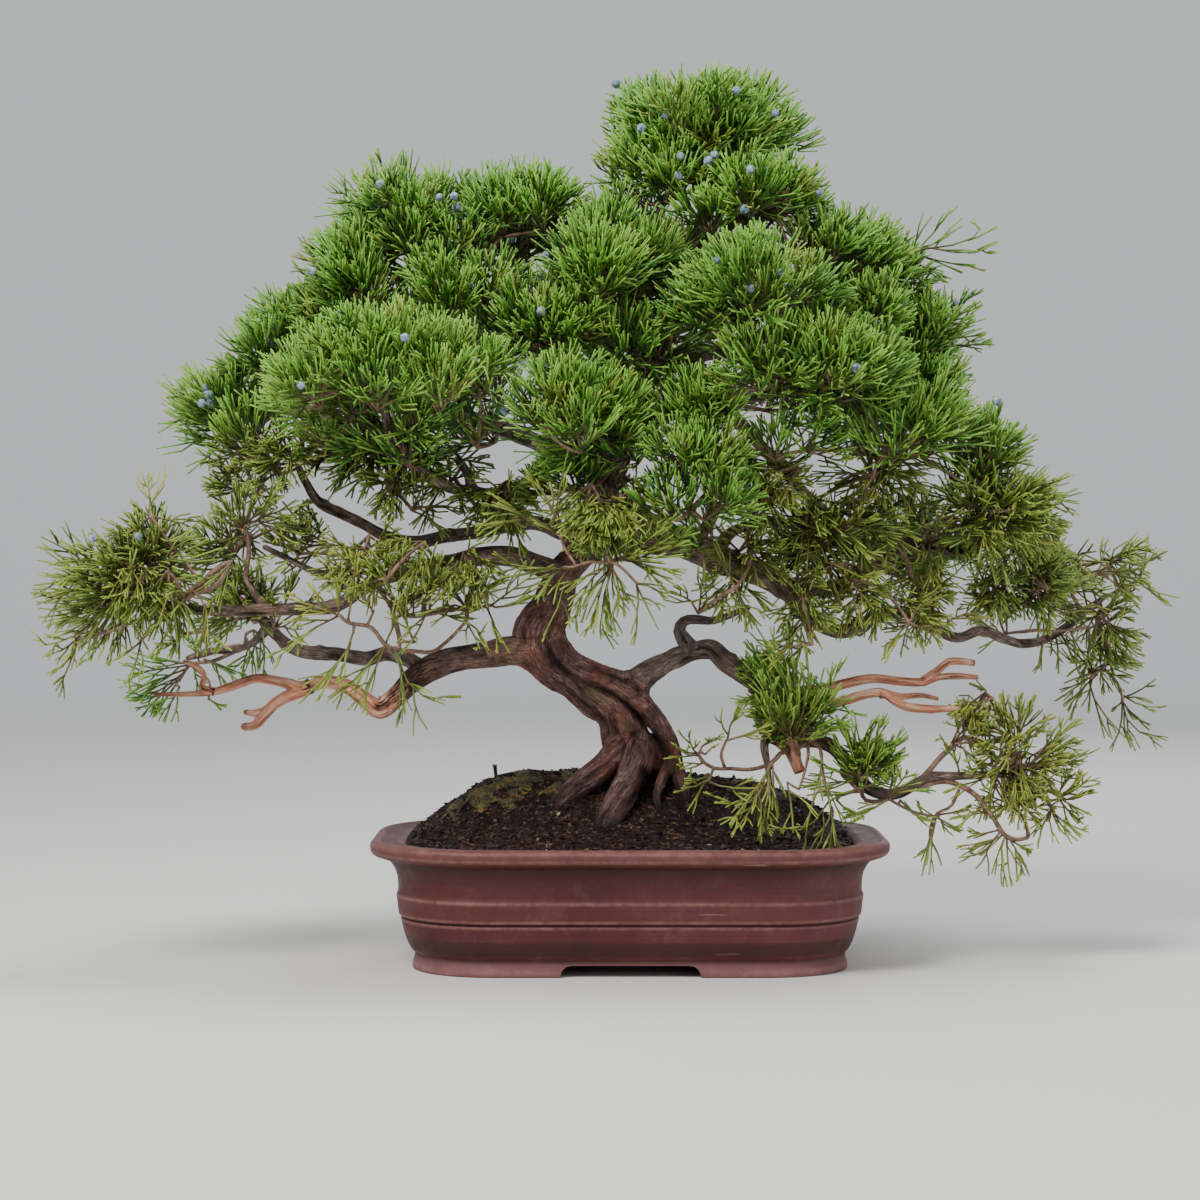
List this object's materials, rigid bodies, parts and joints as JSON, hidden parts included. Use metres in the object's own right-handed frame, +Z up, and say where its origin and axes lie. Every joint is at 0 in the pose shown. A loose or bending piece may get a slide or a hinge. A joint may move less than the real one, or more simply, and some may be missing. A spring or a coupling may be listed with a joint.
{
  "type": "juniper bonsai",
  "caption": "juniper bonsai with a leaning twisted trunk, stripped dead boughs and broad green foliage pads in a long red-brown clay tray with soil and moss",
  "frame": {"origin": "on the ground under the middle of the tray, which is the bottom middle of the whole object's box", "axes": "+X to the right and +Y to the back as the tree's front shows, +Z up"},
  "size_m": [0.9717, 0.465, 0.756],
  "materials": {
    "clay": "matte",
    "soil": "matte",
    "moss": "matte",
    "bark": "matte",
    "deadwood": "matte",
    "foliage": "matte",
    "foliage_pale": "matte",
    "mesh": "matte",
    "clip": "satin",
    "wire": "satin"
  },
  "bodies": {
    "root": {"trunk": "bark", "bough_left_low": "bark", "bough_left_main": "bark", "bough_left_mid": "bark", "bough_left_upper": "bark", "bough_left_crown": "bark", "bough_centre_crown": "bark", "bough_front": "bark", "bough_right_crown": "bark", "bough_right_upper": "bark", "bough_right_main": "bark", "bough_right_mid": "bark", "bough_right_low": "bark", "bough_back_left": "bark", "bough_back_right": "bark", "jin_left": "deadwood", "jin_right_upper": "deadwood", "jin_right_lower": "deadwood", "foliage_top": "foliage", "foliage_crown_right": "foliage", "foliage_dome_left": "foliage", "foliage_dome_centre": "foliage", "foliage_crown_centre": "foliage", "foliage_shoulder_right": "foliage", "foliage_crown_front": "foliage", "foliage_shoulder_left": "foliage", "foliage_left_front": "foliage", "foliage_left_outer": "foliage", "foliage_left_under": "foliage_pale", "foliage_centre_front": "foliage", "foliage_centre_hanging": "foliage_pale", "foliage_right_front": "foliage", "foliage_right_mid": "foliage", "foliage_right_upper": "foliage", "foliage_right_outer": "foliage_pale", "foliage_right_fans": "foliage", "foliage_right_inner": "foliage_pale", "foliage_far_right": "foliage_pale", "foliage_low_right_inner": "foliage", "foliage_low_right_middle": "foliage", "foliage_low_right_outer": "foliage_pale", "foliage_low_right_hanging": "foliage_pale", "foliage_far_left_outer": "foliage_pale", "foliage_far_left_inner": "foliage_pale", "foliage_left_dark": "foliage", "foliage_left_low_front": "foliage_pale", "foliage_back_left": "foliage", "foliage_back_centre": "foliage", "foliage_back_right": "foliage", "foliage_back_right_low": "foliage", "pot": "clay", "drain_screen_left": "mesh", "screen_clip_left": "clip", "drain_screen_right": "mesh", "screen_clip_right": "clip", "soil": "soil", "anchor_wire": "wire", "moss_left": "moss", "moss_behind_trunk": "moss", "moss_right": "moss"}
  },
  "joints": []
}
